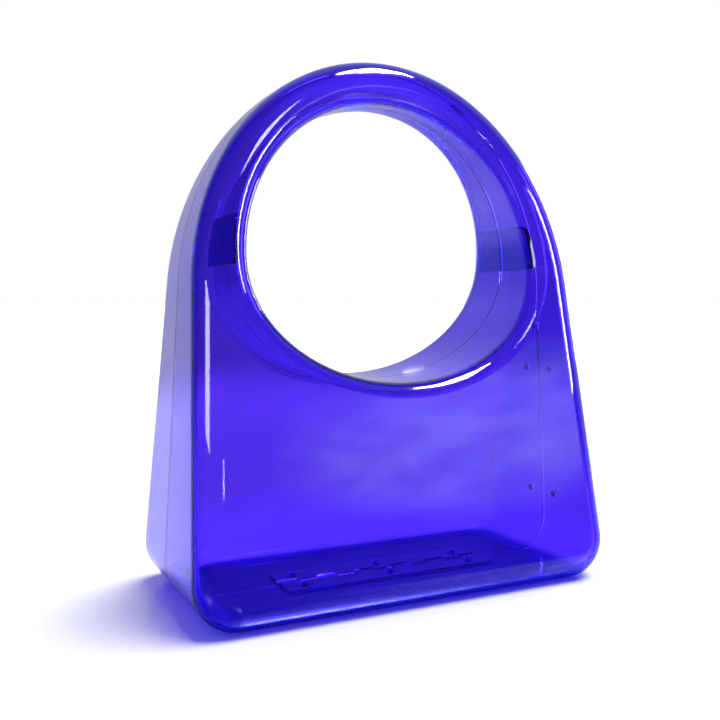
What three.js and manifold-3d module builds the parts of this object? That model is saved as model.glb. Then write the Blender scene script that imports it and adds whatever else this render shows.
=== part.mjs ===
// A rigid top-handle box bag in see-through violet plastic. Two hollow half shells meet on a parting plane at
// mid-depth. A piano hinge on the floor joins them, and two tabs beside the handle hole hold them shut.
// Millimetres, +Z up. The front faces -Y, and the origin is under the middle of the floor.
import * as THREE from "three";
import { mergeVertices } from "three/addons/utils/BufferGeometryUtils.js";
import Module from "manifold-3d";

const wasm = await Module();
wasm.setup();

// Driving dimensions of the shells
const HEIGHT = 240;
const BASE_HALF_WIDTH = 102.5; // where the side lines meet the floor
const CORNER_RADIUS = 19.5;
const ARCH_HALF_WIDTH = 94.3;
const ARCH_CENTRE_Z = 132.1;
const HOLE_CENTRE_Z = 147.8;
const HOLE_HALF_WIDTH = 70.7;
const HOLE_RISE = 72.7; // from the hole's widest level up to its crown
const HOLE_DROP = 52.3; // from the hole's widest level down to its bottom
const BASE_HALF_DEPTH = 52.9;
const TOP_HALF_DEPTH = 12.5;
const WALL = 2.5;
const EDGE_FILLET = 10.5;
const HOLE_FILLET = 7.5;
const WALL_DRAFT = THREE.MathUtils.degToRad(0.9);
const GAP = 0.3; // between touching pieces
const MERGE_DISTANCE = 1e-4; // corners closer than this are one

// Driving dimensions of the hinge
const PIVOT_Z = 2;
const BARREL_RADIUS = 1.65;
const PIN_RADIUS = 0.7;
const LEAF_THICKNESS = 0.8;
const LEAF_WIDTH = 14;
const KNUCKLE_PITCH = 9.7;
const KNUCKLE_COUNT = 11;
const HINGE_CENTRE_X = 3.5;
const RIVET_SPACING = 43.5;
const RIVET_OFFSET = 7.5; // from the pin to a rivet
const RIVET_SHANK_RADIUS = 1;
const RIVET_HEAD_RADIUS = 2;
const RIVET_HEAD_HEIGHT = 0.9;
const SLOT_HALF_WIDTH = 2.1;
const CHAMFER_HALF_WIDTH = 2.4;

// Driving dimensions of the tabs and the studs
const TAB_BOTTOM_Z = 146.5;
const TAB_TOP_Z = 168;
const TAB_THICKNESS = 2.5;
const TAB_FACE_CLEARANCE = 6.2; // from the outer face to the tab's end
const TAB_CORNER_RADIUS = 6;
const STUD_OFFSET = 9.5; // from the parting plane to a stud
const STUD_UPPER_Z = 97;
const STUD_LOWER_Z = 32.5;
const STUD_SHANK_RADIUS = 0.9;
const STUD_HEAD_RADIUS = 1.7;
const STUD_HEAD_HEIGHT = 0.9;

// Smoothness of the facets
const CORNER_STEPS = 10;
const ARCH_STEPS = 30;
const HOLE_STEPS = 64;
const FILLET_STEPS = 5;
const ROUND_SIDES = 10;
const DOME_STEPS = 2;
const TAB_STEPS = 10;
const TAB_CORNER_STEPS = 6;

// Derived sizes
const FRONT = -1;
const BACK = 1;
const ARCH_RISE = HEIGHT - ARCH_CENTRE_Z;
const FACE_SLOPE = (TOP_HALF_DEPTH - BASE_HALF_DEPTH) / HEIGHT;
const HINGE_LENGTH = KNUCKLE_PITCH * KNUCKLE_COUNT;
const LEAF_TOP_Z = PIVOT_Z + BARREL_RADIUS;
const LEAF_BOTTOM_Z = LEAF_TOP_Z - LEAF_THICKNESS;

// Half the bag's depth at a height: the faces are flat and lean together towards the top.
const halfDepth = (z) => BASE_HALF_DEPTH + FACE_SLOPE * z;

// Point of the bag's front view, with the normal that points out of the material and the draft of the wall
// there.
const loopPoint = (x, z, nx, nz, draft = 0) => {
  const length = Math.hypot(nx, nz);
  return { x, z, nx: nx / length, nz: nz / length, draft };
};

// Draft of the outer wall by the height part of its normal: none under the bag, so that the floor is flat.
const wallDraft = (nz) => WALL_DRAFT * (1 + Math.min(0, nz));

// Where the side line from the base touches the arch, as an angle on the arch.
function archStartAngle() {
  const squash = ARCH_HALF_WIDTH / ARCH_RISE;
  const distance = Math.hypot(BASE_HALF_WIDTH, ARCH_CENTRE_Z * squash);
  const bearing = Math.atan2(ARCH_CENTRE_Z * squash, BASE_HALF_WIDTH);
  return Math.acos(ARCH_HALF_WIDTH / distance) - bearing;
}

// Point of the arch at an angle from its right end.
const archPoint = (angle) =>
  loopPoint(
    ARCH_HALF_WIDTH * Math.cos(angle),
    ARCH_CENTRE_Z + ARCH_RISE * Math.sin(angle),
    Math.cos(angle) / ARCH_HALF_WIDTH,
    Math.sin(angle) / ARCH_RISE,
    WALL_DRAFT,
  );

// Outer edge of the parting plane, anticlockwise in the front view from the middle of the floor.
function outerLoop() {
  const startAngle = archStartAngle();
  const side = archPoint(startAngle);
  const cornerX = (side.nx * BASE_HALF_WIDTH - CORNER_RADIUS * (1 + side.nz)) / side.nx;
  const cornerSweep = Math.PI / 2 + Math.atan2(side.nz, side.nx);
  const right = [];
  for (let i = 0; i <= CORNER_STEPS; i++) {
    const angle = -Math.PI / 2 + (cornerSweep * i) / CORNER_STEPS;
    const x = cornerX + CORNER_RADIUS * Math.cos(angle);
    const z = CORNER_RADIUS + CORNER_RADIUS * Math.sin(angle);
    right.push(loopPoint(x, z, Math.cos(angle), Math.sin(angle), wallDraft(Math.sin(angle))));
  }
  for (let i = 0; i < ARCH_STEPS; i++) {
    right.push(archPoint(startAngle + ((Math.PI / 2 - startAngle) * i) / ARCH_STEPS));
  }
  const left = right.map((p) => loopPoint(-p.x, p.z, -p.nx, p.nz, p.draft)).reverse();
  return [loopPoint(0, 0, 0, -1), ...right, archPoint(Math.PI / 2), ...left];
}

// Point of the handle hole's edge at an angle from its right end.
function holePoint(angle) {
  const reach = Math.sin(angle) >= 0 ? HOLE_RISE : HOLE_DROP;
  return loopPoint(
    HOLE_HALF_WIDTH * Math.cos(angle),
    HOLE_CENTRE_Z + reach * Math.sin(angle),
    -Math.cos(angle) / HOLE_HALF_WIDTH,
    -Math.sin(angle) / reach,
  );
}

// Edge of the handle hole on the parting plane, clockwise in the front view.
const holeLoop = () =>
  Array.from({ length: HOLE_STEPS }, (_, i) => holePoint((-2 * Math.PI * i) / HOLE_STEPS));

// Section of one skin across an edge: how far each point lies inside the loop, and how far from the parting
// plane. It runs up the drafted wall and round a fillet that is tangent to the tilted face. The inner skin,
// inset by the wall, shares the fillet's centre.
function edgeSection(point, fillet, inset) {
  const { draft } = point;
  const lean = -point.nz * FACE_SLOPE;
  const partingY = GAP / 2;
  const centreY =
    (halfDepth(point.z) + (lean * fillet) / Math.cos(draft) - fillet * Math.hypot(1, lean)) /
    (1 - lean * Math.tan(draft));
  const centreInset = fillet / Math.cos(draft) + centreY * Math.tan(draft);
  const endAngle = Math.PI / 2 - Math.atan(lean);
  const radius = fillet - inset;
  const section = [[inset / Math.cos(draft) + partingY * Math.tan(draft), partingY]];
  for (let i = 0; i <= FILLET_STEPS; i++) {
    const angle = draft + ((endAngle - draft) * i) / FILLET_STEPS;
    section.push([centreInset - radius * Math.cos(angle), centreY + radius * Math.sin(angle)]);
  }
  return section;
}

// Rings of points round a loop, from the inner skin's face edge over the parting rim to the outer skin's face
// edge.
function edgeRings(loop, fillet, side) {
  const sections = loop.map((p) => [
    ...edgeSection(p, fillet, WALL).reverse(),
    ...edgeSection(p, fillet, 0),
  ]);
  return sections[0].map((_, ring) =>
    loop.map((p, i) => {
      const [inset, y] = sections[i][ring];
      return new THREE.Vector3(p.x - p.nx * inset, side * y, p.z - p.nz * inset);
    }),
  );
}

// Mesh geometry from a list of corner points, three for each triangle.
function triangleGeometry(corners) {
  const geometry = new THREE.BufferGeometry().setFromPoints(corners);
  return mergeVertices(geometry);
}

// Triangles of the strips that join each ring to the next.
function loftTriangles(rings) {
  const corners = [];
  for (let r = 0; r + 1 < rings.length; r++) {
    const [low, high] = [rings[r], rings[r + 1]];
    low.forEach((_, i) => {
      const next = (i + 1) % low.length;
      corners.push(low[i], low[next], high[next], low[i], high[next], high[i]);
    });
  }
  return corners;
}

// Triangles of a flat face between an outer ring and the ring of the hole in it.
function faceTriangles(outerRing, holeRing) {
  const flat = (ring) => ring.map((p) => new THREE.Vector2(p.x, p.z));
  const all = [...outerRing, ...holeRing];
  return THREE.ShapeUtils.triangulateShape(flat(outerRing), [flat(holeRing)]).flatMap((face) =>
    face.map((index) => all[index]),
  );
}

// One hollow half shell: rounded walls, a tilted face and half of the handle hole's tube, open on the parting
// plane.
function shellGeometry(side) {
  const outer = edgeRings(outerLoop(), EDGE_FILLET, side);
  const hole = edgeRings(holeLoop(), HOLE_FILLET, side);
  const corners = [
    ...loftTriangles(outer),
    ...loftTriangles(hole),
    ...faceTriangles(outer.at(-1), hole.at(-1)),
    ...faceTriangles(outer[0], hole[0]).reverse(),
  ];
  return triangleGeometry(side === FRONT ? corners : corners.reverse());
}

// Closed geometry as a solid that can be joined and cut.
function toSolid(geometry) {
  const bare = geometry.index ? geometry.toNonIndexed() : geometry.clone();
  bare.deleteAttribute("normal");
  bare.deleteAttribute("uv");
  const merged = mergeVertices(bare, MERGE_DISTANCE);
  return new wasm.Manifold(
    new wasm.Mesh({
      numProp: 3,
      vertProperties: merged.attributes.position.array,
      triVerts: new Uint32Array(merged.index.array),
    }),
  );
}

// Solid as geometry for a mesh.
function toGeometry(solid) {
  const mesh = solid.getMesh();
  const geometry = new THREE.BufferGeometry();
  geometry.setAttribute("position", new THREE.BufferAttribute(mesh.vertProperties, mesh.numProp));
  geometry.setIndex(new THREE.BufferAttribute(mesh.triVerts, 1));
  return geometry;
}

const joined = (solids) => solids.reduce((all, next) => all.add(next));

// Box between two corners.
function boxSolid(low, high) {
  const size = high.map((value, i) => value - low[i]);
  const middle = high.map((value, i) => (value + low[i]) / 2);
  return toSolid(new THREE.BoxGeometry(...size).translate(...middle));
}

// Round bar along X on the hinge axis.
function hingeBar(radius, length, centreX) {
  const bar = new THREE.CylinderGeometry(radius, radius, length, ROUND_SIDES).rotateZ(Math.PI / 2);
  return bar.translate(centreX, 0, PIVOT_Z);
}

// Room for the hinge in both floors: a slot for the barrel, and a groove under the parting line that lets the
// lower edges clear each other as the bag opens.
function hingeRoom() {
  const over = 1;
  const slotHalfLength = HINGE_LENGTH / 2 + GAP;
  const slot = boxSolid(
    [HINGE_CENTRE_X - slotHalfLength, -SLOT_HALF_WIDTH, -over],
    [HINGE_CENTRE_X + slotHalfLength, SLOT_HALF_WIDTH, WALL + over],
  );
  const spread = CHAMFER_HALF_WIDTH / PIVOT_Z;
  const groove = new THREE.Shape([
    new THREE.Vector2(0, PIVOT_Z),
    new THREE.Vector2(-spread * (PIVOT_Z + over), -over),
    new THREE.Vector2(spread * (PIVOT_Z + over), -over),
  ]);
  const length = 2 * (BASE_HALF_WIDTH + over);
  const prism = new THREE.ExtrudeGeometry(groove, { depth: length, bevelEnabled: false, steps: 1 });
  prism.rotateX(Math.PI / 2).rotateZ(Math.PI / 2).translate(-length / 2, 0, 0);
  return slot.add(toSolid(prism));
}

// Middle of each knuckle, with the leaf that it belongs to.
const knuckles = Array.from({ length: KNUCKLE_COUNT }, (_, i) => ({
  x: HINGE_CENTRE_X + (i - (KNUCKLE_COUNT - 1) / 2) * KNUCKLE_PITCH,
  side: i % 2 === 0 ? FRONT : BACK,
}));

// Middle of each rivet along the hinge.
const rivetPlaces = [-1, 0, 1].map((step) => HINGE_CENTRE_X + step * RIVET_SPACING);

// One hinge leaf: a plate on the floor with its own knuckles, notched round the other leaf's.
function leafGeometry(side) {
  const halfLength = HINGE_LENGTH / 2 - GAP / 2;
  const plate = boxSolid(
    [HINGE_CENTRE_X - halfLength, Math.min(0, side * LEAF_WIDTH), LEAF_BOTTOM_Z],
    [HINGE_CENTRE_X + halfLength, Math.max(0, side * LEAF_WIDTH), LEAF_TOP_Z],
  );
  const others = knuckles.filter((knuckle) => knuckle.side !== side);
  const own = knuckles.filter((knuckle) => knuckle.side === side);
  const notchReach = BARREL_RADIUS + GAP;
  const notches = others.map(({ x }) =>
    boxSolid(
      [x - (KNUCKLE_PITCH + GAP) / 2, -notchReach, PIVOT_Z - notchReach],
      [x + (KNUCKLE_PITCH + GAP) / 2, notchReach, PIVOT_Z + notchReach],
    ),
  );
  const barrels = own.map(({ x }) => toSolid(hingeBar(BARREL_RADIUS, KNUCKLE_PITCH - GAP, x)));
  const bore = toSolid(hingeBar(PIN_RADIUS + GAP, HINGE_LENGTH + KNUCKLE_PITCH, HINGE_CENTRE_X));
  const holes = rivetPlaces.map((x) => rivetHole(x, side));
  return toGeometry(
    joined([plate, ...barrels])
      .subtract(joined(notches))
      .subtract(bore)
      .subtract(joined(holes)),
  );
}

// Fastener turned round its own axis: a shank that ends at the given depth below a low domed head.
function fastenerGeometry(shankRadius, shankDepth, headRadius, headHeight) {
  const dome = new THREE.EllipseCurve(0, 0, headRadius, headHeight, 0, Math.PI / 2).getPoints(DOME_STEPS);
  dome[dome.length - 1].x = 0;
  const profile = [
    new THREE.Vector2(0, -shankDepth),
    new THREE.Vector2(shankRadius, -shankDepth),
    new THREE.Vector2(shankRadius, 0),
    ...dome,
  ];
  return new THREE.LatheGeometry(profile, ROUND_SIDES);
}

// Clearance hole for a fastener's shank, along Y through the seat at y = 0.
const shankHole = (shankRadius, depth) =>
  new THREE.CylinderGeometry(shankRadius + GAP, shankRadius + GAP, 2 * depth, ROUND_SIDES);

// Hole for a rivet through a leaf and the floor below it.
function rivetHole(x, side) {
  const hole = shankHole(RIVET_SHANK_RADIUS, LEAF_TOP_Z + GAP).rotateX(Math.PI / 2);
  return toSolid(hole.translate(x, side * RIVET_OFFSET, LEAF_TOP_Z));
}

// Place of a stud on the right wall: its seat on the inner skin, and the turn that points its head inwards.
function studPlace(side, z) {
  const wallTop = archPoint(archStartAngle());
  const outsideX = BASE_HALF_WIDTH - (z * wallTop.nz) / wallTop.nx;
  const inset = (WALL + GAP) / Math.cos(WALL_DRAFT) + STUD_OFFSET * Math.tan(WALL_DRAFT);
  const seat = new THREE.Vector3(outsideX - inset * wallTop.nx, side * STUD_OFFSET, z - inset * wallTop.nz);
  const inward = new THREE.Vector3(
    -wallTop.nx * Math.cos(WALL_DRAFT),
    -side * Math.sin(WALL_DRAFT),
    -wallTop.nz * Math.cos(WALL_DRAFT),
  );
  const turn = new THREE.Quaternion().setFromUnitVectors(new THREE.Vector3(0, 1, 0), inward);
  return { seat, turn };
}

// Hole for a stud through the right wall.
function studHole(side, z) {
  const { seat, turn } = studPlace(side, z);
  const hole = shankHole(STUD_SHANK_RADIUS, 2 * WALL).applyQuaternion(turn);
  return toSolid(hole.translate(seat.x, seat.y, seat.z));
}

// Closure tab beside the handle hole: a plate that follows the tube. Its ends are parallel to the faces,
// and its front corners are rounded.
function tabGeometry(mirror) {
  const angleAt = (z) => Math.asin((z - HOLE_CENTRE_Z) / (z > HOLE_CENTRE_Z ? HOLE_RISE : HOLE_DROP));
  const startAngle = angleAt(TAB_BOTTOM_Z);
  const sweep = angleAt(TAB_TOP_Z) - startAngle;
  const ribs = Array.from({ length: TAB_STEPS + 1 }, (_, i) =>
    holePoint(startAngle + (sweep * i) / TAB_STEPS),
  );
  const inset = (distance) =>
    ribs.map((p) => new THREE.Vector2(mirror * (p.x - p.nx * distance), p.z - p.nz * distance));
  const near = WALL + 2 * GAP;
  const band = new THREE.Shape([...inset(near), ...inset(near + TAB_THICKNESS).reverse()]);
  const depth = 2 * BASE_HALF_DEPTH;
  const strip = new THREE.ExtrudeGeometry(band, { depth, bevelEnabled: false, steps: 1 });
  strip.rotateX(Math.PI / 2).translate(0, depth / 2, 0);
  const width = 2 * BASE_HALF_WIDTH;
  const cutter = new THREE.ExtrudeGeometry(tabSideView(), { depth: width, bevelEnabled: false, steps: 1 });
  cutter.rotateX(Math.PI / 2).rotateZ(Math.PI / 2).translate(-width / 2, 0, 0);
  return toGeometry(toSolid(strip).intersect(toSolid(cutter)));
}

// Outline of a tab seen from the side, in depth and height.
function tabSideView() {
  const endAt = (z) => halfDepth(z) - TAB_FACE_CLEARANCE;
  const [low, high, r] = [TAB_BOTTOM_Z, TAB_TOP_Z, TAB_CORNER_RADIUS];
  const view = new THREE.Shape();
  view.moveTo(endAt(low), low);
  view.lineTo(endAt(high), high);
  view.lineTo(-endAt(high) + r, high);
  view.quadraticCurveTo(-endAt(high), high, -endAt(high - r), high - r);
  view.lineTo(-endAt(low + r), low + r);
  view.quadraticCurveTo(-endAt(low), low, -endAt(low) + r, low);
  return new THREE.Shape(view.getPoints(TAB_CORNER_STEPS));
}

// Materials
const clearViolet = () =>
  new THREE.MeshStandardMaterial({
    color: 0x4a2cf0,
    roughness: 0.04,
    metalness: 0,
    transparent: true,
    opacity: 0.45,
  });
const hingeViolet = () =>
  new THREE.MeshStandardMaterial({ color: 0x2a12a8, roughness: 0.18, metalness: 0 });
const tabViolet = () =>
  new THREE.MeshStandardMaterial({ color: 0x3a1cb0, roughness: 0.12, metalness: 0 });
const darkStud = () =>
  new THREE.MeshStandardMaterial({ color: 0x140a50, roughness: 0.3, metalness: 0.1 });

// Assembly
const bag = new THREE.Group();

const addPiece = (name, geometry, material) => {
  const mesh = new THREE.Mesh(geometry, material);
  mesh.name = name;
  bag.add(mesh);
  return mesh;
};

const sides = [
  { side: FRONT, word: "front" },
  { side: BACK, word: "back" },
];
const studLevels = [
  { word: "upper", z: STUD_UPPER_Z },
  { word: "lower", z: STUD_LOWER_Z },
];
const room = hingeRoom();

for (const { side, word } of sides) {
  const holes = [
    ...rivetPlaces.map((x) => rivetHole(x, side)),
    ...studLevels.map(({ z }) => studHole(side, z)),
  ];
  const shell = toSolid(shellGeometry(side)).subtract(room).subtract(joined(holes));
  addPiece(`${word}_shell`, toGeometry(shell), clearViolet());
  addPiece(`hinge_leaf_${word}`, leafGeometry(side), hingeViolet());
  rivetPlaces.forEach((x, i) => {
    const shankDepth = LEAF_TOP_Z - 2 * GAP;
    const rivet = addPiece(
      `hinge_rivet_${word}_${i + 1}`,
      fastenerGeometry(RIVET_SHANK_RADIUS, shankDepth, RIVET_HEAD_RADIUS, RIVET_HEAD_HEIGHT),
      hingeViolet(),
    );
    rivet.rotation.x = Math.PI / 2;
    rivet.position.set(x, side * RIVET_OFFSET, LEAF_TOP_Z + GAP);
  });
  for (const level of studLevels) {
    const { seat, turn } = studPlace(side, level.z);
    const stud = addPiece(
      `wall_stud_${word}_${level.word}`,
      fastenerGeometry(STUD_SHANK_RADIUS, WALL, STUD_HEAD_RADIUS, STUD_HEAD_HEIGHT),
      darkStud(),
    );
    stud.position.copy(seat);
    stud.quaternion.copy(turn);
  }
}

addPiece("hinge_pin", hingeBar(PIN_RADIUS, HINGE_LENGTH - GAP, HINGE_CENTRE_X), hingeViolet());
addPiece("tab_right", tabGeometry(1), tabViolet());
addPiece("tab_left", tabGeometry(-1), tabViolet());

export default bag;
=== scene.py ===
"""Looks of a rigid top-handle box bag in see-through violet plastic.

Two hollow half shells are hinged along the floor, and two tabs beside the handle hole hold them shut. All
sizes are in metres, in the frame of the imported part: +Z up, the front towards -Y, +X to the right.
"""

import logging
import math
from dataclasses import dataclass, field
from enum import Enum
from typing import Any, Callable, Iterable, Sequence

import bmesh
import bpy
import numpy as np
from mathutils import Matrix, Vector
from mathutils.geometry import tessellate_polygon


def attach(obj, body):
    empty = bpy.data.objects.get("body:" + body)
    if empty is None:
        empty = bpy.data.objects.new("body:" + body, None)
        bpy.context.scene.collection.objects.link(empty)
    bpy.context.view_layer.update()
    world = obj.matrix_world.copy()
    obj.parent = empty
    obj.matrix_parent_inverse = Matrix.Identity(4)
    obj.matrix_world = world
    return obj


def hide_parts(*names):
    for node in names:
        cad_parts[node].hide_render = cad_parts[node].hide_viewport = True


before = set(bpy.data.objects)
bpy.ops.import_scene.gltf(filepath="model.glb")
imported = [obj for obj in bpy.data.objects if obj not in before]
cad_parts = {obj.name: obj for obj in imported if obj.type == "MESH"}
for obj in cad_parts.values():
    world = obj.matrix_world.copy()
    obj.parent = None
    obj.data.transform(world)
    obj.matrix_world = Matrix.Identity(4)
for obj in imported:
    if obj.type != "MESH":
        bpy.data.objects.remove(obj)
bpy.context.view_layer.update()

MM = 0.001
GAP = 0.3 * MM  # between touching pieces
OVERCUT = 1 * MM  # how far a cutting form goes past what it cuts
FASTENER_NOSE = 0.2  # bevel of a fastener, as a share of its shank's radius
SKIRT_DROP = 0.9  # how far a fastener's head reaches into the gap below it, as a share
DOME_STEPS = 10
ALONG_X = Vector((1, 0, 0))
UP = Vector((0, 0, 1))
SHARP_ANGLE = math.radians(30)
LOG = logging.getLogger("bag")

Colour = tuple[float, float, float, float]
Face = tuple[int, ...]
Pair = tuple[float, float]
Triple = tuple[float, float, float]
Mesh = bpy.types.Mesh
Material = bpy.types.Material
WHITE: Colour = (1.0, 1.0, 1.0, 1.0)


class Side(Enum):
    """Half of the bag, by its sign along Y."""

    FRONT = -1
    BACK = 1

    @property
    def body(self) -> str:
        """Name of the body that this half moves with."""
        return self.name.lower()


class Combine(Enum):
    """How one solid changes another."""

    JOIN = "UNION"
    CARVE = "DIFFERENCE"


# Mesh helpers


def linked(name: str, data: bpy.types.ID) -> bpy.types.Object:
    """Adds an object with the given data to the scene."""
    thing = bpy.data.objects.new(name, data)
    bpy.context.collection.objects.link(thing)
    return thing


def mesh_from(name: str, points: Iterable[Sequence[float]], faces: Iterable[Face]) -> Mesh:
    """Makes a mesh of corner points and faces.

    Args:
        name: Name of the mesh.
        points: Corner points.
        faces: Corner numbers of each face, anticlockwise from outside.

    Returns:
        The new mesh.
    """
    mesh = bpy.data.meshes.new(name)
    mesh.from_pydata([tuple(point) for point in points], [], [tuple(face) for face in faces])
    mesh.update()
    return mesh


def joined(name: str, parts: Sequence[Mesh]) -> Mesh:
    """Puts meshes that do not touch into one new mesh."""
    form = bmesh.new()
    for part in parts:
        form.from_mesh(part)
    mesh = bpy.data.meshes.new(name)
    form.to_mesh(mesh)
    form.free()
    return mesh


def combined(base: Mesh, tool: Mesh, how: Combine) -> Mesh:
    """Joins two closed meshes, or carves one out of the other.

    Args:
        base: Mesh that is changed.
        tool: Mesh that changes it.
        how: What the tool does.

    Returns:
        The result as a new mesh.
    """
    holders = [linked(part.name, part) for part in (base, tool)]
    change = holders[0].modifiers.new("combine", "BOOLEAN")
    change.object = holders[1]
    change.operation = how.value
    change.solver = "EXACT"
    bpy.context.view_layer.update()
    evaluated = holders[0].evaluated_get(bpy.context.evaluated_depsgraph_get())
    result = bpy.data.meshes.new_from_object(evaluated)
    for holder in holders:
        bpy.data.objects.remove(holder)
    return result


def box_mesh(low: Sequence[float], high: Sequence[float]) -> Mesh:
    """Makes a box between its lowest and highest corners."""
    form = bmesh.new()
    size = Vector(high) - Vector(low)
    middle = (Vector(high) + Vector(low)) / 2
    bmesh.ops.create_cube(form, size=1, matrix=Matrix.Translation(middle) @ Matrix.Diagonal((*size, 1)))
    mesh = bpy.data.meshes.new("box")
    form.to_mesh(mesh)
    form.free()
    return mesh


def prism_mesh(section: Sequence[Pair], low_x: float, high_x: float) -> Mesh:
    """Makes a prism along X.

    Args:
        section: Y and Z of each corner, anticlockwise seen from +X.
        low_x: Where it starts.
        high_x: Where it ends.

    Returns:
        The closed mesh.
    """
    count = len(section)
    points = [(x, y, z) for x in (low_x, high_x) for y, z in section]
    faces: list[Face] = [tuple(reversed(range(count))), tuple(range(count, 2 * count))]
    for i in range(count):
        follow = (i + 1) % count
        faces.append((i, follow, count + follow, count + i))
    return mesh_from("prism", points, faces)


def turned(profile: Sequence[Pair], seat: Vector, axis: Vector, sides: int) -> Mesh:
    """Turns a profile round an axis into a closed solid.

    Args:
        profile: Radius and height of each point, from the foot on the axis up to the tip on the axis.
        seat: Place of height 0.
        axis: Direction of growing height.
        sides: Points on each ring.

    Returns:
        The turned mesh.
    """
    spin = UP.rotation_difference(axis)
    rings = profile[1:-1]
    corners = [Vector((0, 0, profile[0][1]))]
    for radius, height in rings:
        for step in range(sides):
            angle = math.tau * step / sides
            corners.append(Vector((radius * math.cos(angle), radius * math.sin(angle), height)))
    corners.append(Vector((0, 0, profile[-1][1])))
    tip = len(corners) - 1
    faces: list[Face] = []
    for step in range(sides):
        follow = (step + 1) % sides
        faces.append((0, 1 + follow, 1 + step))
        last = 1 + (len(rings) - 1) * sides
        faces.append((tip, last + step, last + follow))
        for ring in range(len(rings) - 1):
            low = 1 + ring * sides
            high = low + sides
            faces.append((low + step, low + follow, high + follow, high + step))
    return mesh_from("turned", [seat + spin @ corner for corner in corners], faces)


def rod(radius: float, low: float, high: float, seat: Vector, axis: Vector, sides: int) -> Mesh:
    """Makes a round bar between two heights over a seat."""
    return turned([(0, low), (radius, low), (radius, high), (0, high)], seat, axis, sides)


def fastener_profile(shank: float, depth: float, head: float, height: float) -> list[Pair]:
    """Profile of a fastener: a shank, and a domed head whose skirt reaches down to what it holds.

    Args:
        shank: Radius of the shank.
        depth: How far the shank goes below the seat.
        head: Radius of the head.
        height: Height of the head.

    Returns:
        Radius and height of each point, from the foot to the tip.
    """
    nose = FASTENER_NOSE * shank
    skirt = -SKIRT_DROP * GAP
    angles = [math.pi / 2 * i / DOME_STEPS for i in range(DOME_STEPS)]
    dome = [(head * math.cos(angle), height * math.sin(angle)) for angle in angles]
    foot = [(0, -depth), (shank - nose, -depth), (shank, -depth + nose), (shank, skirt)]
    return [*foot, (head - nose, skirt), (head, skirt + nose), *dome, (0, height)]


def smoothed(mesh: Mesh) -> Mesh:
    """Shades a mesh smooth, apart from its sharp edges."""
    mesh.polygons.foreach_set("use_smooth", [True] * len(mesh.polygons))
    mesh.set_sharp_from_angle(angle=SHARP_ANGLE)
    mesh.update()
    return mesh


# Shader helpers


class Signal:
    """Output of a shader node, with arithmetic that adds Math nodes."""

    def __init__(self, graph: "Graph", socket: bpy.types.NodeSocket) -> None:
        """Keeps the socket and the graph that it belongs to."""
        self.graph = graph
        self.socket = socket

    def _maths(self, operation: str, first: "Signal | float", second: "Signal | float") -> "Signal":
        """Adds a Math node of two terms."""
        return self.graph.node("ShaderNodeMath", {0: first, 1: second}, {"operation": operation})

    def __add__(self, other: "Signal | float") -> "Signal":
        """Sum."""
        return self._maths("ADD", self, other)

    def __radd__(self, other: float) -> "Signal":
        """Sum with a number in front."""
        return self._maths("ADD", other, self)

    def __sub__(self, other: "Signal | float") -> "Signal":
        """Difference."""
        return self._maths("SUBTRACT", self, other)

    def __rsub__(self, other: float) -> "Signal":
        """Difference with a number in front."""
        return self._maths("SUBTRACT", other, self)

    def __mul__(self, other: "Signal | float") -> "Signal":
        """Product."""
        return self._maths("MULTIPLY", self, other)

    def __rmul__(self, other: float) -> "Signal":
        """Product with a number in front."""
        return self._maths("MULTIPLY", other, self)


class Graph:
    """Node tree of a material or of the world."""

    def __init__(self, tree: bpy.types.NodeTree) -> None:
        """Starts with an empty tree."""
        self.tree = tree
        self.tree.nodes.clear()

    def node(
        self,
        kind: str,
        sockets: dict[str | int, Any] | None = None,
        settings: dict[str, Any] | None = None,
        output: str | int = 0,
    ) -> Signal | None:
        """Adds a node, sets it up and links it.

        Args:
            kind: Type of the node.
            sockets: Value or link of each input, by name or number.
            settings: Its properties, set before the sockets.
            output: Output to hand back, by name or number.

        Returns:
            The output, or None on a node that has none.
        """
        node = self.tree.nodes.new(kind)
        for name, value in (settings or {}).items():
            setattr(node, name, value)
        for key, value in (sockets or {}).items():
            if isinstance(value, Signal):
                self.tree.links.new(value.socket, node.inputs[key])
            else:
                node.inputs[key].default_value = value
        return Signal(self, node.outputs[output]) if len(node.outputs) else None

    def remapped(self, value: Signal, low: float, high: float) -> Signal:
        """Eases a value from 0 at a low level to 1 at a high one."""
        sockets = {"Value": value, "From Min": low, "From Max": high}
        return self.node("ShaderNodeMapRange", sockets, {"interpolation_type": "SMOOTHSTEP"})

    def mixed(self, share: Signal, low: Colour | Signal, high: Colour | Signal) -> Signal:
        """Mixes two colours, by the share of the second one."""
        return self.node("ShaderNodeMix", {0: share, 6: low, 7: high}, {"data_type": "RGBA"}, 2)

    def vector(self, operation: str, first: Any, second: Any = None, output: str = "Vector") -> Signal:
        """Adds a Vector Math node of one or two terms."""
        sockets = {0: first} if second is None else {0: first, 1: second}
        return self.node("ShaderNodeVectorMath", sockets, {"operation": operation}, output)

    def light_path(self, what: str) -> Signal:
        """Answer to a question about the ray, such as whether it comes from the camera."""
        return self.node("ShaderNodeLightPath", output=what)

    def is_mirrored(self) -> Signal:
        """1 for a ray that last left a glossy surface without going through it."""
        return self.light_path("Is Glossy Ray") * (1.0 - self.light_path("Is Transmission Ray"))

    def noise(self, place: Signal, scale: float, detail: float, roughness: float = 0.5) -> Signal:
        """Cloudy noise from 0 to 1 at a place, with the given scale, detail and roughness."""
        sockets = {"Vector": place, "Scale": scale, "Detail": detail, "Roughness": roughness}
        return self.node("ShaderNodeTexNoise", sockets, output="Fac")


def material_graph(name: str) -> tuple[Material, Graph]:
    """Makes a material with an empty node tree."""
    material = bpy.data.materials.new(name)
    material.use_nodes = True
    return material, Graph(material.node_tree)


# Finishes


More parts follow.
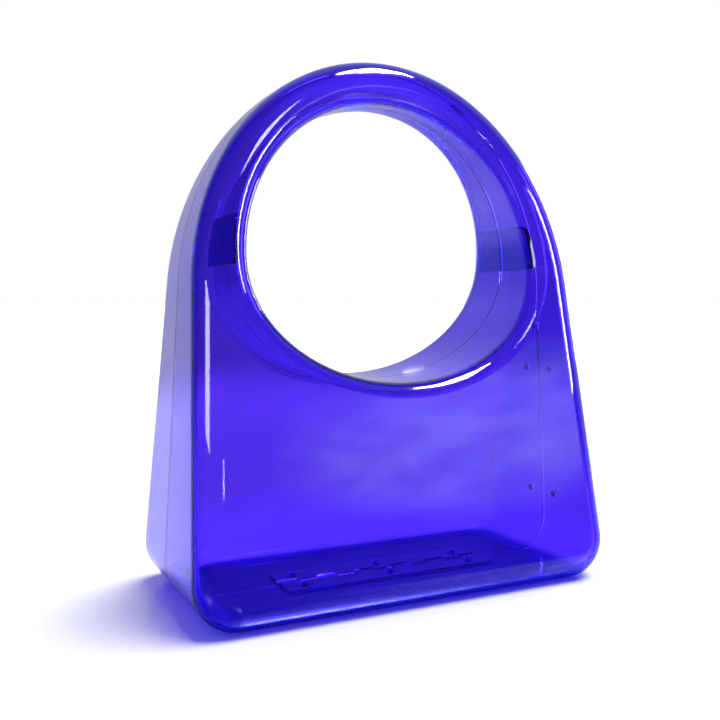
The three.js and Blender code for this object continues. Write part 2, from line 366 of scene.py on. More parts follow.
@dataclass(frozen=True)
class ClearPlastic:
    """See-through moulded plastic. The tint grows with the thickness that the light goes through."""

    name: str
    passed: Colour  # share of each colour that the tint lets through, by the density
    density: float
    viewport: Colour
    ior: float = 1.49
    polish: float = 0.0  # roughness where the plastic is clean
    smudge: float = 0.05  # roughness that handling adds
    smudge_scale: float = 22.0
    smudge_detail: float = 5.0
    smudge_blend: float = 0.62
    smudge_span: Pair = (0.52, 0.74)  # noise levels where the marks start and are full
    cloud_scale: float = 15.0
    cloud_detail: float = 4.0
    cloud_span: Pair = (0.36, 0.66)
    clouded: Colour = (0.88, 0.86, 0.96, 1.0)  # lets a little less through in soft clouds
    shade: Colour = (0.94, 0.91, 0.84, 1.0)  # light that each face leaves in the shadow
    flow_scale: float = 34.0
    flow_detail: float = 1.0
    flow_height: float = 0.08 * MM
    drag_scale: float = 420.0
    drag_detail: float = 2.0
    drag_stretch: Triple = (1.0, 1.0, 0.03)
    drag_height: float = 0.02 * MM
    relief: float = 0.3  # strength of the waves and drag lines

    def material(self) -> Material:
        """Builds the finish.

        Returns:
            The material, with gloss, moulding waves, handling marks and a tint through its depth.
        """
        material, graph = material_graph(self.name)
        material.diffuse_color = self.viewport
        place = graph.node("ShaderNodeTexCoord", output="Object")
        cloud_noise = graph.noise(place, self.cloud_scale, self.cloud_detail)
        clouds = graph.remapped(cloud_noise, *self.cloud_span)
        mark_noise = graph.noise(place, self.smudge_scale, self.smudge_detail, self.smudge_blend)
        marks = graph.remapped(mark_noise, *self.smudge_span)
        surface = graph.node(
            "ShaderNodeBsdfPrincipled",
            {
                "Base Color": graph.mixed(clouds, self.clouded, WHITE),
                "Roughness": self.polish + self.smudge * marks,
                "IOR": self.ior,
                "Transmission Weight": 1.0,
                "Normal": self.moulding(graph, place),
            },
        )
        is_shadow = graph.light_path("Is Shadow Ray")
        passing = graph.node("ShaderNodeBsdfTransparent", {"Color": self.shade})
        seen = graph.node("ShaderNodeMixShader", {0: is_shadow, 1: surface, 2: passing})
        tint = graph.node("ShaderNodeVolumeAbsorption", {"Color": self.passed, "Density": self.density})
        graph.node("ShaderNodeOutputMaterial", {"Surface": seen, "Volume": tint})
        return material

    def moulding(self, graph: Graph, place: Signal) -> Signal:
        """Faint waves where the plastic flowed, and upright drag lines from the mould.

        Args:
            graph: Tree that gets the nodes.
            place: Place on the piece.

        Returns:
            The bumped normal.
        """
        flow = graph.noise(place, self.flow_scale, self.flow_detail)
        stretched = graph.vector("MULTIPLY", place, self.drag_stretch)
        drag = graph.noise(stretched, self.drag_scale, self.drag_detail)
        height = flow * self.flow_height + drag * self.drag_height
        return graph.node("ShaderNodeBump", {"Strength": self.relief, "Distance": 1.0, "Height": height})


SHELL_PLASTIC = ClearPlastic(
    "shell_clear_violet",
    passed=(0.29, 0.0, 0.985, 1.0),
    density=690.0,
    viewport=(0.12, 0.06, 0.9, 0.45),
)
HINGE_PLASTIC = ClearPlastic(
    "hinge_clear_violet",
    passed=(0.2, 0.0, 0.93, 1.0),
    density=620.0,
    viewport=(0.05, 0.02, 0.5, 0.7),
    smudge=0.12,
    smudge_scale=90.0,
)
TAB_PLASTIC = ClearPlastic(
    "tab_deep_violet",
    passed=(0.3, 0.0, 0.9, 1.0),
    density=1100.0,
    viewport=(0.06, 0.02, 0.5, 0.7),
    smudge=0.1,
    smudge_scale=60.0,
)
STUD_PLASTIC = ClearPlastic(
    "stud_dark_violet",
    passed=(0.42, 0.2, 0.77, 1.0),
    density=4200.0,
    viewport=(0.02, 0.01, 0.2, 1.0),
    polish=0.3,
    smudge=0.12,
    smudge_scale=200.0,
)


# The bag's form


@dataclass
class Loop:
    """Closed line in the front view: a row for each point."""

    place: np.ndarray  # x and z
    normal: np.ndarray  # x and z, out of the material
    draft: np.ndarray  # lean of the wall away from the parting plane

    def __len__(self) -> int:
        """Number of points."""
        return len(self.place)


@dataclass(frozen=True)
class BagForm:
    """Driving sizes of the two shells, and the curves that follow from them."""

    height: float = 240 * MM
    base_half_width: float = 102.5 * MM  # where the side lines meet the floor
    corner_radius: float = 19.5 * MM
    arch_half_width: float = 94.3 * MM
    arch_centre_z: float = 132.1 * MM
    hole_centre_z: float = 147.8 * MM
    hole_half_width: float = 70.7 * MM
    hole_rise: float = 72.7 * MM
    hole_drop: float = 52.3 * MM
    base_half_depth: float = 52.9 * MM
    top_half_depth: float = 12.5 * MM
    wall: float = 2.5 * MM
    wall_draft: float = math.radians(0.9)
    floor_steps: int = 8
    corner_steps: int = 26
    side_steps: int = 22
    arch_steps: int = 104
    hole_steps: int = 264

    @property
    def face_slope(self) -> float:
        """Change of half depth with height."""
        return (self.top_half_depth - self.base_half_depth) / self.height

    @property
    def arch_rise(self) -> float:
        """Height of the arch over its centre."""
        return self.height - self.arch_centre_z

    def half_depth(self, z: Any) -> Any:
        """Half the bag's depth at a height: the faces are flat and lean together towards the top."""
        return self.base_half_depth + self.face_slope * z

    def arch_start(self) -> float:
        """Angle on the arch where the side line from the base touches it."""
        squash = self.arch_half_width / self.arch_rise
        raised = self.arch_centre_z * squash
        distance = math.hypot(self.base_half_width, raised)
        return math.acos(self.arch_half_width / distance) - math.atan2(raised, self.base_half_width)

    def arch_row(self, angle: float) -> tuple[float, float, float, float, float]:
        """Place, normal and draft of the arch at an angle from its right end."""
        nx = math.cos(angle) / self.arch_half_width
        nz = math.sin(angle) / self.arch_rise
        length = math.hypot(nx, nz)
        x = self.arch_half_width * math.cos(angle)
        z = self.arch_centre_z + self.arch_rise * math.sin(angle)
        return x, z, nx / length, nz / length, self.wall_draft

    def outer_loop(self) -> Loop:
        """Outer edge of the parting plane, anticlockwise in the front view from the middle of the floor.

        Returns:
            The loop.
        """
        start = self.arch_start()
        touch_x, touch_z, side_nx, side_nz, draft = self.arch_row(start)
        radius = self.corner_radius
        corner_x = (side_nx * self.base_half_width - radius * (1 + side_nz)) / side_nx
        sweep = math.pi / 2 + math.atan2(side_nz, side_nx)
        rows = [(corner_x * i / self.floor_steps, 0, 0, -1, 0) for i in range(1, self.floor_steps)]
        for i in range(self.corner_steps + 1):
            angle = -math.pi / 2 + sweep * i / self.corner_steps
            nx, nz = math.cos(angle), math.sin(angle)
            lean = self.wall_draft * (1 + min(0, nz))
            rows.append((corner_x + radius * nx, radius + radius * nz, nx, nz, lean))
        low_x, low_z = rows[-1][:2]
        for i in range(1, self.side_steps):
            share = i / self.side_steps
            x, z = low_x + (touch_x - low_x) * share, low_z + (touch_z - low_z) * share
            rows.append((x, z, side_nx, side_nz, draft))
        quarter = math.pi / 2 - start
        rows += [self.arch_row(start + quarter * i / self.arch_steps) for i in range(self.arch_steps)]
        mirrored = [(-x, z, -nx, nz, lean) for x, z, nx, nz, lean in reversed(rows)]
        table = np.array([(0, 0, 0, -1, 0), *rows, self.arch_row(math.pi / 2), *mirrored], float)
        return Loop(table[:, :2], table[:, 2:4], table[:, 4])

    def hole_places(self, angle: np.ndarray) -> tuple[np.ndarray, np.ndarray]:
        """Edge of the handle hole on the parting plane.

        Args:
            angle: Angles from the hole's right end.

        Returns:
            The places, and the normals that point into the hole.
        """
        across, up = np.cos(angle), np.sin(angle)
        reach = np.where(up >= 0, self.hole_rise, self.hole_drop)
        place = np.stack([self.hole_half_width * across, self.hole_centre_z + reach * up], 1)
        normal = np.stack([-across / self.hole_half_width, -up / reach], 1)
        return place, normal / np.linalg.norm(normal, axis=1, keepdims=True)

    def hole_loop(self) -> Loop:
        """Edge of the handle hole, clockwise in the front view."""
        place, normal = self.hole_places(-math.tau * np.arange(self.hole_steps) / self.hole_steps)
        return Loop(place, normal, np.zeros(len(place)))

    def side_wall(self) -> Pair:
        """Normal of the right wall in the front view."""
        return self.arch_row(self.arch_start())[2:4]


class SubAssembly:
    """Pieces of the bag that are made and dressed together."""

    def add_piece(
        self,
        name: str,
        mesh: Mesh,
        material: Material,
        body: str,
        slot: str,
        node: str,
    ) -> bpy.types.Object:
        """Adds a dressed piece in the place of a node.

        Args:
            name: Name of the piece.
            mesh: Its mesh, in place.
            material: Its finish.
            body: Body that it moves with.
            slot: Material slot that it belongs to; not used.
            node: Node that it stands for.

        Returns:
            The new object.
        """
        mesh.name = name
        mesh.materials.clear()
        mesh.materials.append(material)
        piece = linked(name, smoothed(mesh))
        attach(piece, body)
        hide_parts(node)
        LOG.info("%s: %d faces, on %s", name, len(mesh.polygons), body)
        return piece

    @staticmethod
    def round_edges(
        piece: bpy.types.Object, width: float, segments: int, angle: float = SHARP_ANGLE
    ) -> None:
        """Rounds a piece's edges that are sharper than an angle."""
        bevel = piece.modifiers.new("rounded_edges", "BEVEL")
        bevel.width = width
        bevel.segments = segments
        bevel.limit_method = "ANGLE"
        bevel.angle_limit = angle


@dataclass
class Hinge(SubAssembly):
    """Piano hinge on the floor: two leaves, a pin and the rivets that hold the leaves down."""

    pivot_z: float = 2 * MM
    barrel_radius: float = 1.65 * MM
    pin_radius: float = 0.7 * MM
    leaf_thickness: float = 0.8 * MM
    leaf_width: float = 14 * MM
    knuckle_pitch: float = 9.7 * MM
    knuckle_count: int = 11
    centre_x: float = 3.5 * MM
    rivet_spacing: float = 43.5 * MM
    rivet_offset: float = 7.5 * MM
    rivet_shank_radius: float = 1 * MM
    rivet_head_radius: float = 2 * MM
    rivet_head_height: float = 0.9 * MM
    edge_radius: float = 0.12 * MM
    edge_angle: float = math.radians(50)  # edges that are less sharp stay as they are
    edge_segments: int = 2
    pin_nose: float = 0.3  # bevel of the pin's ends, as a share of its radius
    notch_lean: float = math.radians(50)  # of the notches' end walls, as the knuckles' upper facets
    barrel_sides: int = 9
    sides: int = 40

    @property
    def length(self) -> float:
        """Length of the whole hinge."""
        return self.knuckle_pitch * self.knuckle_count

    @property
    def leaf_top(self) -> float:
        """Height of the leaves' upper face."""
        return self.pivot_z + self.barrel_radius

    @property
    def rivet_places(self) -> list[float]:
        """Middle of each rivet along the hinge."""
        return [self.centre_x + step * self.rivet_spacing for step in (-1, 0, 1)]

    def bar(self, radius: float, length: float, centre_x: float, sides: int) -> Mesh:
        """Makes a bar along X on the hinge axis."""
        seat = Vector((centre_x - length / 2, 0, self.pivot_z))
        return rod(radius, 0, length, seat, ALONG_X, sides)

    def knuckles(self, own: Side) -> list[float]:
        """Middle of each knuckle of one half's leaf."""
        first = 0 if own is Side.FRONT else 1
        start = self.centre_x - (self.knuckle_count - 1) / 2 * self.knuckle_pitch
        return [start + i * self.knuckle_pitch for i in range(first, self.knuckle_count, 2)]

    def rivet_hole(self, x: float, side: Side) -> Mesh:
        """Makes the hole for a rivet through a leaf and the floor below it."""
        radius = self.rivet_shank_radius + GAP
        depth = self.leaf_top + GAP
        seat = Vector((x, side.value * self.rivet_offset, self.leaf_top))
        return rod(radius, -depth, depth, seat, UP, self.sides)

    def notch(self, side: Side, x: float) -> Mesh:
        """Makes the room in a leaf for a knuckle of the other one, with a sloping end wall.

        Args:
            side: Half that the leaf is fixed to.
            x: Middle of the knuckle.

        Returns:
            The room as a closed mesh.
        """
        reach = self.barrel_radius + GAP
        low, high = self.pivot_z - reach, self.pivot_z + reach
        foot = self.leaf_top - self.leaf_thickness
        wide = reach + (high - foot) * math.tan(self.notch_lean)
        own = side.value
        section = [(-own * reach, low), (own * reach, low), (own * reach, foot), (own * wide, high)]
        section.append((-own * reach, high))
        half = (self.knuckle_pitch + GAP) / 2
        return prism_mesh(section if own > 0 else section[::-1], x - half, x + half)

    def leaf(self, side: Side) -> Mesh:
        """Makes a leaf: a plate with its own knuckles, notched round the other leaf's.

        Args:
            side: Half that the leaf is fixed to.

        Returns:
            The leaf's mesh.
        """
        other = Side.BACK if side is Side.FRONT else Side.FRONT
        half = self.length / 2 - GAP / 2
        outer_y = side.value * self.leaf_width
        plate = box_mesh(
            (self.centre_x - half, min(0, outer_y), self.leaf_top - self.leaf_thickness),
            (self.centre_x + half, max(0, outer_y), self.leaf_top),
        )
        width = self.knuckle_pitch - GAP
        barrels = [self.bar(self.barrel_radius, width, x, self.barrel_sides) for x in self.knuckles(side)]
        notches = [self.notch(side, x) for x in self.knuckles(other)]
        bore = self.bar(self.pin_radius + GAP, self.length + width, self.centre_x, self.sides)
        holes = [self.rivet_hole(x, side) for x in self.rivet_places]
        rolled = combined(plate, joined("barrels", barrels), Combine.JOIN)
        notched = combined(rolled, joined("notches", notches), Combine.CARVE)
        return combined(notched, joined("bores", [bore, *holes]), Combine.CARVE)

    def rivet(self, x: float, side: Side) -> Mesh:
        """Makes a rivet: a shank with a low domed head."""
        seat = Vector((x, side.value * self.rivet_offset, self.leaf_top + GAP))
        depth = self.leaf_top - 2 * GAP
        profile = fastener_profile(
            self.rivet_shank_radius, depth, self.rivet_head_radius, self.rivet_head_height
        )
        return turned(profile, seat, UP, self.sides)

    def build(self) -> None:
        """Builds and dresses the leaves, the rivets and the pin."""
        clear = HINGE_PLASTIC.material()
        for side in Side:
            name = f"hinge_leaf_{side.body}"
            leaf = self.add_piece(f"{name}_moulded", self.leaf(side), clear, side.body, "hinge", name)
            self.round_edges(leaf, self.edge_radius, self.edge_segments, self.edge_angle)
            for number, x in enumerate(self.rivet_places, 1):
                name = f"hinge_rivet_{side.body}_{number}"
                self.add_piece(f"{name}_turned", self.rivet(x, side), clear, side.body, "hinge", name)
        half = (self.length - GAP) / 2
        seat = Vector((self.centre_x - half, 0, self.pivot_z))
        nose = self.pin_nose * self.pin_radius
        profile = [
            (0, 0),
            (self.pin_radius - nose, 0),
            (self.pin_radius, nose),
            (self.pin_radius, 2 * half - nose),
            (self.pin_radius - nose, 2 * half),
            (0, 2 * half),
        ]
        pin = turned(profile, seat, ALONG_X, self.sides)
        self.add_piece("hinge_pin_rod", pin, clear, Side.BACK.body, "hinge", "hinge_pin")


@dataclass
class WallStuds(SubAssembly):
    """Four small studs through the right wall."""

    form: BagForm
    offset: float = 9.5 * MM  # from the parting plane
    levels: dict[str, float] = field(default_factory=lambda: {"upper": 97 * MM, "lower": 32.5 * MM})
    shank_radius: float = 0.9 * MM
    head_radius: float = 1.7 * MM
    head_height: float = 0.9 * MM
    sides: int = 36

    def seat(self, side: Side, z: float) -> tuple[Vector, Vector]:
        """Place of a stud on the inner skin, and the direction of its head.

        Args:
            side: Half that the stud is on.
            z: Height on the wall.

        Returns:
            The seat and the inward direction.
        """
        nx, nz = self.form.side_wall()
        draft = self.form.wall_draft
        inset = (self.form.wall + GAP) / math.cos(draft) + self.offset * math.tan(draft)
        outside_x = self.form.base_half_width - z * nz / nx
        seat = Vector((outside_x - inset * nx, side.value * self.offset, z - inset * nz))
        inward = Vector((-nx * math.cos(draft), -side.value * math.sin(draft), -nz * math.cos(draft)))
        return seat, inward

    def hole(self, side: Side, z: float) -> Mesh:
        """Makes the hole for a stud through the right wall."""
        seat, inward = self.seat(side, z)
        radius = self.shank_radius + GAP
        depth = 2 * self.form.wall
        return rod(radius, -depth, depth, seat, inward, self.sides)

    def build(self) -> None:
        """Builds and dresses the studs."""
        dark = STUD_PLASTIC.material()
        profile = fastener_profile(self.shank_radius, self.form.wall, self.head_radius, self.head_height)
        for side in Side:
            for level, z in self.levels.items():
                name = f"wall_stud_{side.body}_{level}"
                stud = turned(profile, *self.seat(side, z), self.sides)
                self.add_piece(f"{name}_turned", stud, dark, side.body, "stud", name)


@dataclass
class Shells(SubAssembly):
    """The two hollow half shells that meet on the parting plane."""

    form: BagForm
    hinge: Hinge
    studs: WallStuds
    edge_fillet: float = 10.5 * MM
    hole_fillet: float = 7.5 * MM
    rim_gap: float = 0.06 * MM  # between the rims of the two halves
    edge_break: float = 0.15 * MM  # on the rims, which makes the parting line show
    face_margin: float = 0.3 * MM  # flat strip beside each fillet
    slot_half_width: float = 2.1 * MM
    groove_half_width: float = 2.4 * MM
    wall_levels: tuple[float, ...] = (0.0, 0.06, 0.5, 0.94)
    fillet_steps: int = 14

    def skin(self, loop: Loop, fillet: float, inset: float, rim_step: float) -> list[np.ndarray]:
        """Section of one skin across an edge, for each point of a loop.

        It starts on the rim, goes up the drafted wall, round a fillet that is tangent to the tilted face, and
        a little way along that face. Both skins share the fillet's centre.

        Args:
            loop: Edge on the parting plane.
            fillet: Radius of the outer skin's fillet.
            inset: Depth of the skin below the outer one.
            rim_step: How far inside the skin its broken edge meets the rim.

        Returns:
            Rows of depth inside the loop and distance from the parting plane, from the rim to the face.
        """
        draft = loop.draft
        lean = -loop.normal[:, 1] * self.form.face_slope
        half_depth = self.form.half_depth(loop.place[:, 1])
        flat_y = half_depth + lean * fillet / np.cos(draft) - fillet * np.hypot(1, lean)
        centre_y = flat_y / (1 - lean * np.tan(draft))
        centre_inset = fillet / np.cos(draft) + centre_y * np.tan(draft)
        end = math.pi / 2 - np.arctan(lean)
        radius = fillet - inset
        rim_y = np.full(len(loop), self.rim_gap / 2)
        wall_low = rim_y + self.edge_break
        wall_high = centre_y + radius * np.sin(draft)
        rows = [np.stack([inset / np.cos(draft) + rim_y * np.tan(draft) + rim_step, rim_y], 1)]
        for level in self.wall_levels:
            y = wall_low + level * (wall_high - wall_low)
            rows.append(np.stack([inset / np.cos(draft) + y * np.tan(draft), y], 1))
        for i in range(self.fillet_steps + 1):
            angle = draft + (end - draft) * i / self.fillet_steps
            row = [centre_inset - radius * np.cos(angle), centre_y + radius * np.sin(angle)]
            rows.append(np.stack(row, 1))
        rows.append(rows[-1] + self.face_margin * np.stack([np.sin(end), np.cos(end)], 1))
        return rows

    def rings(self, loop: Loop, fillet: float, side: Side) -> np.ndarray:
        """Rings of points round a loop, from the inner face over the parting rim to the outer face.

        Args:
            loop: Edge on the parting plane.
            fillet: Radius of the outer skin's fillet.
            side: Half of the bag.

        Returns:
            Points by ring and by place on the loop.
        """
        inner = self.skin(loop, fillet, self.form.wall, -self.edge_break)
        outer = self.skin(loop, fillet, 0.0, self.edge_break)
        rings = []
        for row in [*reversed(inner), *outer]:
            flat = loop.place - loop.normal * row[:, :1]
            rings.append(np.stack([flat[:, 0], side.value * row[:, 1], flat[:, 1]], 1))
        return np.array(rings)

    @staticmethod
    def strips(rings: int, around: int, start: int) -> list[Face]:
        """Faces between each ring and the next.

        Args:
            rings: Number of rings.
            around: Points on each ring.
            start: Number of the first point.

        Returns:
            Four-sided faces.
        """
        faces = []
        for ring in range(rings - 1):
            low = start + ring * around
            high = low + around
            for i in range(around):
                follow = (i + 1) % around
                faces.append((low + i, low + follow, high + follow, high + i))
        return faces

    @staticmethod
    def flat_face(outline: np.ndarray, hole: np.ndarray, numbers: np.ndarray, facing: int) -> list[Face]:
        """Fills a flat face between an outline and the hole in it.

        Args:
            outline: Points of the outline.
            hole: Points of the hole.
            numbers: Numbers of all those points in the mesh.
            facing: Sign along Y of the side that the face looks to.

        Returns:
            Three-sided faces.
        """
        points = [*map(Vector, outline), *map(Vector, hole)]
        faces = []
        for a, b, c in tessellate_polygon([[*map(Vector, outline)], [*map(Vector, hole)]]):
            normal = (points[b] - points[a]).cross(points[c] - points[a])
            corners = (a, b, c) if normal.y * facing > 0 else (a, c, b)
            faces.append(tuple(int(numbers[corner]) for corner in corners))
        return faces

    def blank(self, side: Side) -> Mesh:
        """Makes a half shell with no room for the hinge and no fastener holes.

        Args:
            side: Half of the bag.

        Returns:
            The closed mesh.
        """
        edge = self.rings(self.form.outer_loop(), self.edge_fillet, side)
        tube = self.rings(self.form.hole_loop(), self.hole_fillet, side)
        edge_count, edge_around = edge.shape[:2]
        tube_count, tube_around = tube.shape[:2]
        tube_start = edge_count * edge_around
        faces = [
            *self.strips(edge_count, edge_around, 0),
            *self.strips(tube_count, tube_around, tube_start),
        ]
        if side is Side.BACK:
            faces = [tuple(reversed(face)) for face in faces]
        for ring, facing in ((-1, side.value), (0, -side.value)):
            edge_first = (edge_count - 1) * edge_around if ring else 0
            tube_first = tube_start + ((tube_count - 1) * tube_around if ring else 0)
            numbers = np.r_[edge_first : edge_first + edge_around, tube_first : tube_first + tube_around]
            faces += self.flat_face(edge[ring], tube[ring], numbers, facing)
        points = np.concatenate([edge.reshape(-1, 3), tube.reshape(-1, 3)])
        return mesh_from(f"{side.body}_blank", points, faces)

    def hinge_groove(self) -> Mesh:
        """Makes the groove under the parting line that lets the lower edges clear each other."""
        reach = self.form.base_half_width + OVERCUT
        spread = self.groove_half_width / self.hinge.pivot_z * (self.hinge.pivot_z + OVERCUT)
        section = [(0, self.hinge.pivot_z), (-spread, -OVERCUT), (spread, -OVERCUT)]
        return prism_mesh(section, -reach, reach)

    def hinge_slot(self) -> Mesh:
        """Makes the slot for the hinge's barrel in both floors."""
        half = self.hinge.length / 2 + GAP
        return box_mesh(
            (self.hinge.centre_x - half, -self.slot_half_width, -OVERCUT),
            (self.hinge.centre_x + half, self.slot_half_width, self.form.wall + OVERCUT),
        )

    def build(self) -> None:
        """Builds and dresses both shells."""
        clear = SHELL_PLASTIC.material()
        for side in Side:
            holes = [self.hinge.rivet_hole(x, side) for x in self.hinge.rivet_places]
            holes += [self.studs.hole(side, z) for z in self.studs.levels.values()]
            mesh = combined(self.blank(side), self.hinge_groove(), Combine.CARVE)
            mesh = combined(mesh, self.hinge_slot(), Combine.CARVE)
            mesh = combined(mesh, joined("holes", holes), Combine.CARVE)
            node = f"{side.body}_shell"
            self.add_piece(f"{node}_moulded", mesh, clear, side.body, "shell", node)


@dataclass
class ClosureTabs(SubAssembly):
    """Two plates beside the handle hole that lap the parting line and hold the bag shut."""

    form: BagForm
    bottom_z: float = 146.5 * MM
    top_z: float = 168 * MM
    thickness: float = 2.5 * MM
    face_clearance: float = 6.2 * MM  # from the outer face to the tab's end
    corner_radius: float = 6 * MM
    edge_radius: float = 0.5 * MM
    edge_segments: int = 3
    corner_rows: int = 8
    middle_rows: int = 8
    columns: int = 16
    curve_samples: int = 400
    curve_reach: float = math.pi / 4  # stretch of the hole's edge that a tab follows, each way

    def reach(self, z: float) -> float:
        """Distance of a tab's end from the parting plane, at a height."""
        return self.form.half_depth(z) - self.face_clearance

    def front_reach(self, z: float) -> float:
        """Distance of a tab's front end from the parting plane, with its rounded corners."""
        for end, inward in ((self.top_z, -1), (self.bottom_z, 1)):
            away = abs(z - end)
            if away < self.corner_radius:
                share = math.sqrt(away / self.corner_radius)
                last = self.reach(end)
                straight = self.reach(end + inward * self.corner_radius)
                round_part = 2 * share * (1 - share) * last + (1 - share) ** 2 * (last - self.corner_radius)
                return share**2 * straight + round_part
        return self.reach(z)

    def row_levels(self) -> list[float]:
        """Heights of the rows of points, closer together near the rounded corners."""
        corner = [self.corner_radius * (i / self.corner_rows) ** 2 for i in range(self.corner_rows + 1)]
        low = self.bottom_z + self.corner_radius
        span = self.top_z - self.bottom_z - 2 * self.corner_radius
        middle = [low + span * i / self.middle_rows for i in range(1, self.middle_rows)]
        return [*(self.bottom_z + c for c in corner), *middle, *(self.top_z - c for c in reversed(corner))]

    def wall_x(self, levels: Sequence[float], depth: float) -> np.ndarray:
        """Distance from the bag's middle, at each height, of a surface behind the hole's edge.

        Args:
            levels: Heights.
            depth: Distance of the surface from the hole's edge.

        Returns:
            X of the surface on the right side.
        """
        angle = np.linspace(-self.curve_reach, self.curve_reach, self.curve_samples)
        place, normal = self.form.hole_places(angle)
        curve = place - normal * depth
        return np.interp(levels, curve[:, 1], curve[:, 0])

    def plate(self, mirror: int) -> Mesh:
        """Makes a tab that follows the handle hole's tube.

        Args:
            mirror: 1 for the right tab, -1 for the left one.

        Returns:
            The closed mesh.
        """
        levels = self.row_levels()
        near = self.form.wall + 2 * GAP
        points = []
        for depth in (near, near + self.thickness):
            for x, z in zip(self.wall_x(levels, depth), levels):
                ends = -self.front_reach(z), self.reach(z)
                for y in np.linspace(*ends, self.columns):
                    points.append((mirror * x, y, z))
        rows, columns = len(levels), self.columns
        sheet = rows * columns
        faces: list[Face] = []
        for row in range(rows - 1):
            for column in range(columns - 1):
                a = row * columns + column
                quad = (a, a + columns, a + columns + 1, a + 1)
                faces.append(quad)
                faces.append(tuple(sheet + corner for corner in reversed(quad)))
        bottom = [*range(columns)]
        back = [row * columns + columns - 1 for row in range(rows)]
        top = [(rows - 1) * columns + column for column in reversed(range(columns))]
        front = [row * columns for row in reversed(range(rows))]
        border = [*bottom, *back[1:], *top[1:], *front[1:-1]]
        for a, b in zip(border, [*border[1:], border[0]]):
            faces.append((a, b, sheet + b, sheet + a))
        if mirror < 0:
            faces = [tuple(reversed(face)) for face in faces]
        return mesh_from("tab", points, faces)

    def build(self) -> None:
        """Builds and dresses both tabs."""
        deep = TAB_PLASTIC.material()
        for word, mirror in (("left", -1), ("right", 1)):
            node = f"tab_{word}"
            tab = self.add_piece(f"{node}_moulded", self.plate(mirror), deep, Side.BACK.body, "tab", node)
            self.round_edges(tab, self.edge_radius, self.edge_segments)


# Studio


@dataclass(frozen=True)
class Lamp:
    """Soft light: a flat panel that looks at the bag."""

    name: str
    place: Triple
    width: float
    height: float
    brightness: float
    aim: Triple = (0.0, 0.0, 0.11)

    def build(self) -> None:
        """Adds the panel."""
        data = bpy.data.lights.new(self.name, "AREA")
        data.shape = "RECTANGLE"
        data.size = self.width
        data.size_y = self.height
        data.energy = self.brightness * math.pi * self.width * self.height
        panel = linked(self.name, data)
        panel.location = self.place
        panel.rotation_euler = (Vector(self.aim) - Vector(self.place)).to_track_quat("-Z", "Y").to_euler()
        panel.visible_camera = False
        panel.visible_diffuse = False


@dataclass(frozen=True)
class BrightSide:
    """Part of the surroundings that the plastic shows brighter than the rest."""

    added: float  # light that it adds
    toward: Triple  # its middle, from the bag
    span: Pair  # cosine to that middle where it starts, and where it is full

    def share(self, graph: Graph, direction: Signal) -> Signal:
        """1 on the bright side and 0 away from it, by where the seen thing lies from the bag."""
        along = graph.vector("DOT_PRODUCT", graph.vector("NORMALIZE", direction), self.toward, "Value")
        return graph.remapped(along, *self.span)

    def light(self, graph: Graph, direction: Signal) -> Signal:
        """Light that it adds to what is seen in a direction."""
        return self.added * self.share(graph, direction)


